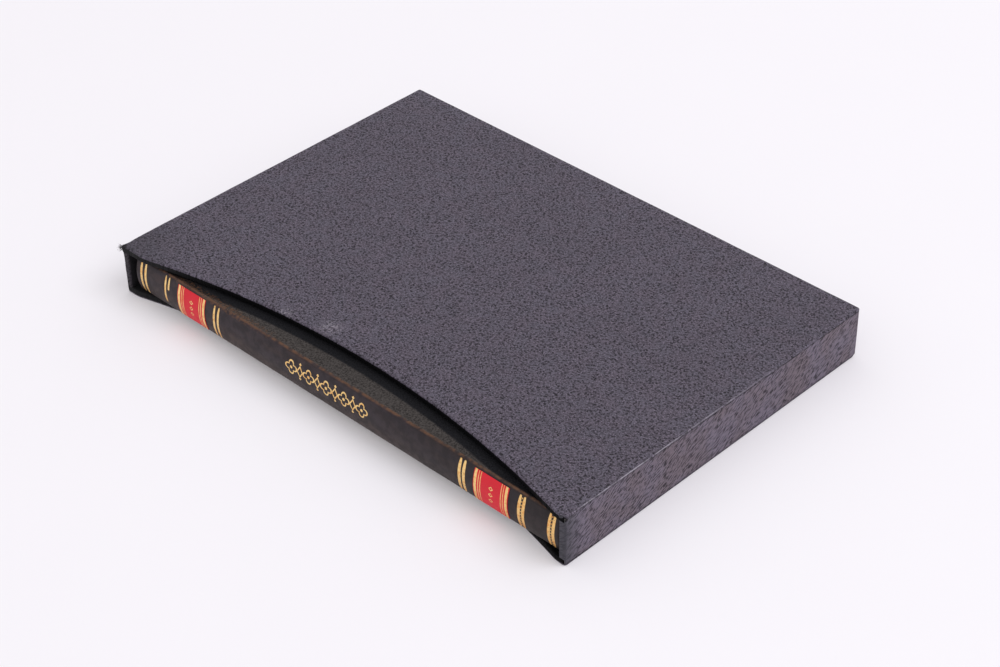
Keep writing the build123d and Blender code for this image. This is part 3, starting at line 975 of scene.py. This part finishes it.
def cover_section(axis_y, radius):
    """Half the cover's thickness, and its outline seen from its head: places back from the case's middle
    and up from the book's.

    Its outside runs along the front side, over the raised joint, round the back as a circle and along
    the other side. Its inside runs back along the turned in leather and the hollow of the back.
    """
    half = HALF_THICK - 0.18
    inner = float(node_box("front_cover_board")[0][2] - MID_HEIGHT) - 0.3
    fore_round = 0.35
    fore = BOOK_HIGH[1] - fore_round
    shoulder = axis_y - np.sqrt(radius**2 - (half - 0.17) ** 2)
    # The side's points lie closer together near the joint, which is a low ridge with a groove behind it.
    fine_y, ridge_y, groove_y = -60, -74.3, -72.6
    side_y = np.concatenate([np.linspace(fore, fine_y, 40), np.linspace(fine_y, shoulder + 0.9, 46)[1:]])
    top = pairs(side_y, half + 0.16 * bell(side_y - ridge_y, 0.5) - 0.22 * bell(side_y - groove_y, 0.9))
    reach = np.arcsin((half - 0.37) / radius)
    turn = np.linspace(reach, -reach, 41)
    back = pairs(axis_y - radius * np.cos(turn), radius * np.sin(turn))
    fore_turn = np.linspace(-pi / 2, pi / 2, 7)[1:-1]
    middle, swell = (half + inner) / 2, (half - inner) / 2
    low_edge = pairs(fore + fore_round * np.cos(fore_turn), -middle + swell * np.sin(fore_turn))
    low_inside = pairs(np.linspace(fore, groove_y - 0.2, 12), -inner)
    hollow_radius = radius - 0.65
    hollow_turn = np.linspace(-0.40, 0.40, 13)
    hollow = pairs(axis_y - hollow_radius * np.cos(hollow_turn), hollow_radius * np.sin(hollow_turn))
    above = [1, -1]
    return half, np.concatenate([
        top, back, top[::-1] * above, low_edge, low_inside, hollow, low_inside[::-1] * above,
        (low_edge * above)[::-1],
    ])


def book_skin(material):
    """The book's leather cover: a C-shaped section carried along the book.

    Towards each end of the book the section draws in along a quarter circle, and the back rolls in
    further, as a cap.
    """
    radius = 17.0
    axis_y = BOOK_LOW[1] + radius
    half, section = cover_section(axis_y, radius)
    tangent = closed_tangents(section)
    outward = pairs(tangent[:, 1], -tangent[:, 0])
    x_low, x_high = float(BOOK_LOW[0]), float(BOOK_HIGH[0])
    cap, draw = 1.5, 0.30
    end = cap * (1 - np.cos(np.linspace(0, pi / 2, 9)))
    x = np.concatenate([x_low + end, np.linspace(x_low + cap, x_high - cap, 110)[1:-1], x_high - end[::-1]])
    from_end = np.minimum(x - x_low, x_high - x)
    # Only the round of the back rolls in, less and less towards the joints.
    flat, round_edge, joint = 6.9, 0.9, -75.0
    rolled = np.clip((flat - np.abs(section[:, 1])) / round_edge, 0, 1) * (section[:, 0] < joint)
    roll = (round_in(from_end, cap)[:, None] * 0.8 * rolled)[..., None]
    toward = unit(pairs(axis_y - section[:, 0], -section[:, 1]))
    place = section - outward * round_in(from_end, draw)[:, None, None] + toward * roll
    x, y = np.broadcast_arrays(x[:, None], place[..., 0])
    wave = ripple(x, y, 19.0, 23) * np.sign(section[:, 1]) * (np.abs(section[:, 1]) > half - 0.8)
    points = np.stack([x, y, place[..., 1] + 0.04 * wave + MID_HEIGHT], -1)
    rows, columns = x.shape
    faces = grid_faces(rows, columns, closed_columns=True)
    faces += end_faces(section, 0, -1) + end_faces(section, (rows - 1) * columns, 1)
    return settle("book_cover_skin", points, faces, material, ("cover_leather",), "book")


def corner_fibres(material):
    """Loose fibres of the frayed leather at the front head corner: thin tapering threads that curve down."""
    random = np.random.default_rng(31)
    count, rings, sides = 44, 6, 3
    root = np.array([-HALF_LENGTH - 0.35, FRONT - 0.1, CASE_HEIGHT - 1.6])
    root = root + random.uniform(-1, 1, (count, 3)) * [0.35, 0.6, 1.0]
    heading = unit(random.normal(0, 0.45, (count, 3)) + [-1.0, -0.35, 0.15])
    reach = random.uniform(0.4, 1.7, count)
    t = np.linspace(0, 1, rings)
    centre = root[:, None] + heading[:, None] * (reach[:, None] * t)[..., None]
    centre[..., 2] -= random.uniform(0.0, 0.5, count)[:, None] * t**2 * reach[:, None]
    across = unit(np.cross(heading, [0.0, 0.0, 1.0]))
    over = np.cross(heading, across)
    turn = np.linspace(0, 2 * pi, sides, endpoint=False)
    ring = across[:, None] * np.cos(turn)[:, None] + over[:, None] * np.sin(turn)[:, None]
    thick = 0.085 * (1 - 0.8 * t)
    points = centre[:, :, None] + ring[:, None] * thick[:, None, None]
    one = np.array(grid_faces(rings, sides, closed_columns=True, flip=True))
    starts = np.arange(count) * rings * sides
    tips = starts + (rings - 1) * sides
    faces = (one + starts[:, None, None]).reshape(-1, 4).tolist()
    faces += (starts[:, None] + [0, 1, 2]).tolist() + (tips[:, None] + [2, 1, 0]).tolist()
    return settle("corner_fibres", points, faces, material)


def corner_tuck(material):
    """The small folded lump of leather beside the tuck at the front tail corner: a dented ellipsoid."""
    rows, columns = 13, 20
    down, around = np.linspace(0, pi, rows), np.linspace(0, 2 * pi, columns, endpoint=False)
    u, v = np.meshgrid(down, around, indexing="ij")
    swell = 1 + 0.16 * np.sin(3 * v + 1) * np.sin(u) + 0.12 * np.sin(2 * u + v)
    points = np.stack([0.85 * np.sin(u) * np.cos(v), 0.5 * np.sin(u) * np.sin(v), 0.55 * np.cos(u)], -1)
    points = points * swell[..., None] + corner_spot(1, 2.0, 0.15, 0.62)
    faces = grid_faces(rows, columns, closed_columns=True, flip=True)
    return settle("corner_tuck", points, faces, material)


def add_camera(settings):
    """The camera, turned about its target by an azimuth, an elevation and a roll."""
    data = bpy.data.cameras.new("camera")
    data.lens = settings.lens
    data.sensor_width = 36.0
    data.clip_start, data.clip_end = 0.01, 20.0
    az, el = settings.azimuth, settings.elevation
    back = Vector((sin(az) * cos(el), -cos(az) * cos(el), sin(el)))
    right = (-back).cross(Vector((0, 0, 1))).normalized()
    up = right.cross(-back)
    c, s = cos(settings.roll), sin(settings.roll)
    right, up = right * c + up * s, up * c - right * s
    turn = Matrix((right, up, back)).transposed().to_4x4()
    camera = linked("camera", data)
    camera.matrix_world = Matrix.Translation(Vector(settings.target) + back * settings.distance) @ turn
    bpy.context.scene.camera = camera


def add_floor(settings):
    """A wide white floor just under the case. It glows a little, which lightens the shadows."""
    reach, level = 6.0, -0.05 * MM
    corners = [(-reach, -reach, level), (reach, -reach, level), (reach, reach, level), (-reach, reach, level)]
    mesh = bpy.data.meshes.new("floor")
    mesh.from_pydata(corners, [], [(0, 1, 2, 3)])
    shader = Shader("floor_paper", Roughness=0.9, Specular_IOR_Level=0.2)
    colour = settings.floor_colour
    shader.set("Emission Color", (0.80, 0.765, 0.765))
    shader.set("Emission Strength", 0.235)
    shader.set("Base Color", shader.mix(shader.noise(60.0, 3.0), colour, tinted(colour, 0.985)))
    mesh.materials.append(shader.material)
    floor = linked("floor", mesh)


def add_light(settings):
    """One large soft lamp behind the tail end, and even light all round."""
    key = bpy.data.lights.new("key", "AREA")
    key.energy = settings.key_power
    key.shape = "DISK"
    key.size = 2.2
    key.color = (0.95, 0.965, 1.0)
    place = Vector((1.7, 0.8, 2.6))
    turn = place.to_track_quat("Z", "Y").to_matrix().to_4x4()
    linked("key", key).matrix_world = Matrix.Translation(place) @ turn
    world = bpy.data.worlds.new("studio")
    world.use_nodes = True
    background = world.node_tree.nodes["Background"]
    background.inputs["Color"].default_value = (1.0, 0.985, 0.99, 1.0)
    background.inputs["Strength"].default_value = settings.world_level
    bpy.context.scene.world = world


class SLIPCASE_OT_stage(bpy.types.Operator):
    """Sets up the camera, the soft light and the floor"""

    bl_idname = "slipcase.stage"
    bl_label = "Camera, light and floor"

    def execute(self, context):
        settings = context.scene.slipcase_stage
        add_camera(settings)
        add_floor(settings)
        add_light(settings)
        context.scene.view_settings.view_transform = "Standard"
        return {"FINISHED"}


class SLIPCASE_OT_case_leather(bpy.types.Operator):
    """Covers the case's panels and walls with grained leather"""

    bl_idname = "slipcase.case_leather"
    bl_label = "Case leather"

    def execute(self, context):
        pitch = context.scene.slipcase_finishes.grain_pitch / MM
        corner = context.scene.slipcase_sizes.corner_round / MM
        panel_leather = case_panel_leather(pitch)
        wall_leather = case_wall_leather(pitch)
        panel_skin("case_top_skin", arc_sizes("top"), 1, (corner,) * 4, panel_leather, "top_leather")
        # The lower panel's back tail corner is rounder than the rest.
        low_corners = (corner, corner, 2.4, corner)
        panel_skin("case_bottom_skin", arc_sizes("bottom"), -1, low_corners, panel_leather, "bottom_leather")
        wall_skin("case_wall_skin", wall_leather)
        corner_fibres(wall_leather)
        corner_tuck(wall_leather)
        return {"FINISHED"}


class SLIPCASE_OT_boards_and_linings(bpy.types.Operator):
    """Gives the boards and black linings their paper finish"""

    bl_idname = "slipcase.boards_and_linings"
    bl_label = "Boards and linings"

    def execute(self, context):
        board = grey_board()
        lining = lining_paper()
        for side in ("top", "bottom", "back", "head", "tail"):
            dress(f"{side}_board", board)
            dress(f"{side}_lining", lining)
        for side in ("front", "back"):
            dress(f"{side}_cover_board", board)
        return {"FINISHED"}


class SLIPCASE_OT_book_leather(bpy.types.Operator):
    """Covers the book with leather, gold fillets and the two red labels"""

    bl_idname = "slipcase.book_leather"
    bl_label = "Book leather"

    def execute(self, context):
        book_skin(book_cover_leather())
        for node in ("head_label", "tail_label"):
            low, high = node_box(node)
            dress(node, label_leather(node + "_leather", float(low[0]), float(high[0])))
        return {"FINISHED"}


class SLIPCASE_OT_text_block(bpy.types.Operator):
    """Gives the sections, endpapers, tapes, hollow and end bands their finish"""

    bl_idname = "slipcase.text_block"
    bl_label = "Text block"

    def execute(self, context):
        leaves, endpaper, silk = leaf_edges(), laid_paper(), silk_band()
        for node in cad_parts:
            if node.startswith("text_section"):
                dress(node, leaves)
        for node in ("front_endpaper", "back_endpaper"):
            dress(node, endpaper)
        for node in ("headband", "tailband"):
            dress(node, silk)
        dress("spine_hollow", kraft_paper())
        dress("sewing_tapes", woven_tape())
        return {"FINISHED"}


class SLIPCASE_PT_panel(bpy.types.Panel):
    """Lists the steps and settings"""

    bl_label = "Slipcase and book"
    bl_space_type = "VIEW_3D"
    bl_region_type = "UI"
    bl_category = "Slipcase"

    def draw(self, context):
        for step in STEPS:
            self.layout.operator(step.bl_idname)
        for group in GROUPS:
            settings = getattr(context.scene, group)
            for key in settings.__annotations__:
                self.layout.prop(settings, key)


STEPS = (
    SLIPCASE_OT_stage,
    SLIPCASE_OT_case_leather,
    SLIPCASE_OT_boards_and_linings,
    SLIPCASE_OT_book_leather,
    SLIPCASE_OT_text_block,
)
GROUPS = {"slipcase_sizes": CaseSizes, "slipcase_finishes": Finishes, "slipcase_stage": StageSettings}
CLASSES = (*GROUPS.values(), *STEPS, SLIPCASE_PT_panel)


def register():
    for cls in CLASSES:
        bpy.utils.register_class(cls)
    for name, group in GROUPS.items():
        setattr(bpy.types.Scene, name, PointerProperty(type=group))


def unregister():
    for name in GROUPS:
        delattr(bpy.types.Scene, name)
    for cls in reversed(CLASSES):
        bpy.utils.unregister_class(cls)


def main():
    register()
    for step in STEPS:
        group, name = step.bl_idname.split(".")
        getattr(getattr(bpy.ops, group), name)()


if __name__ == "__main__":
    main()
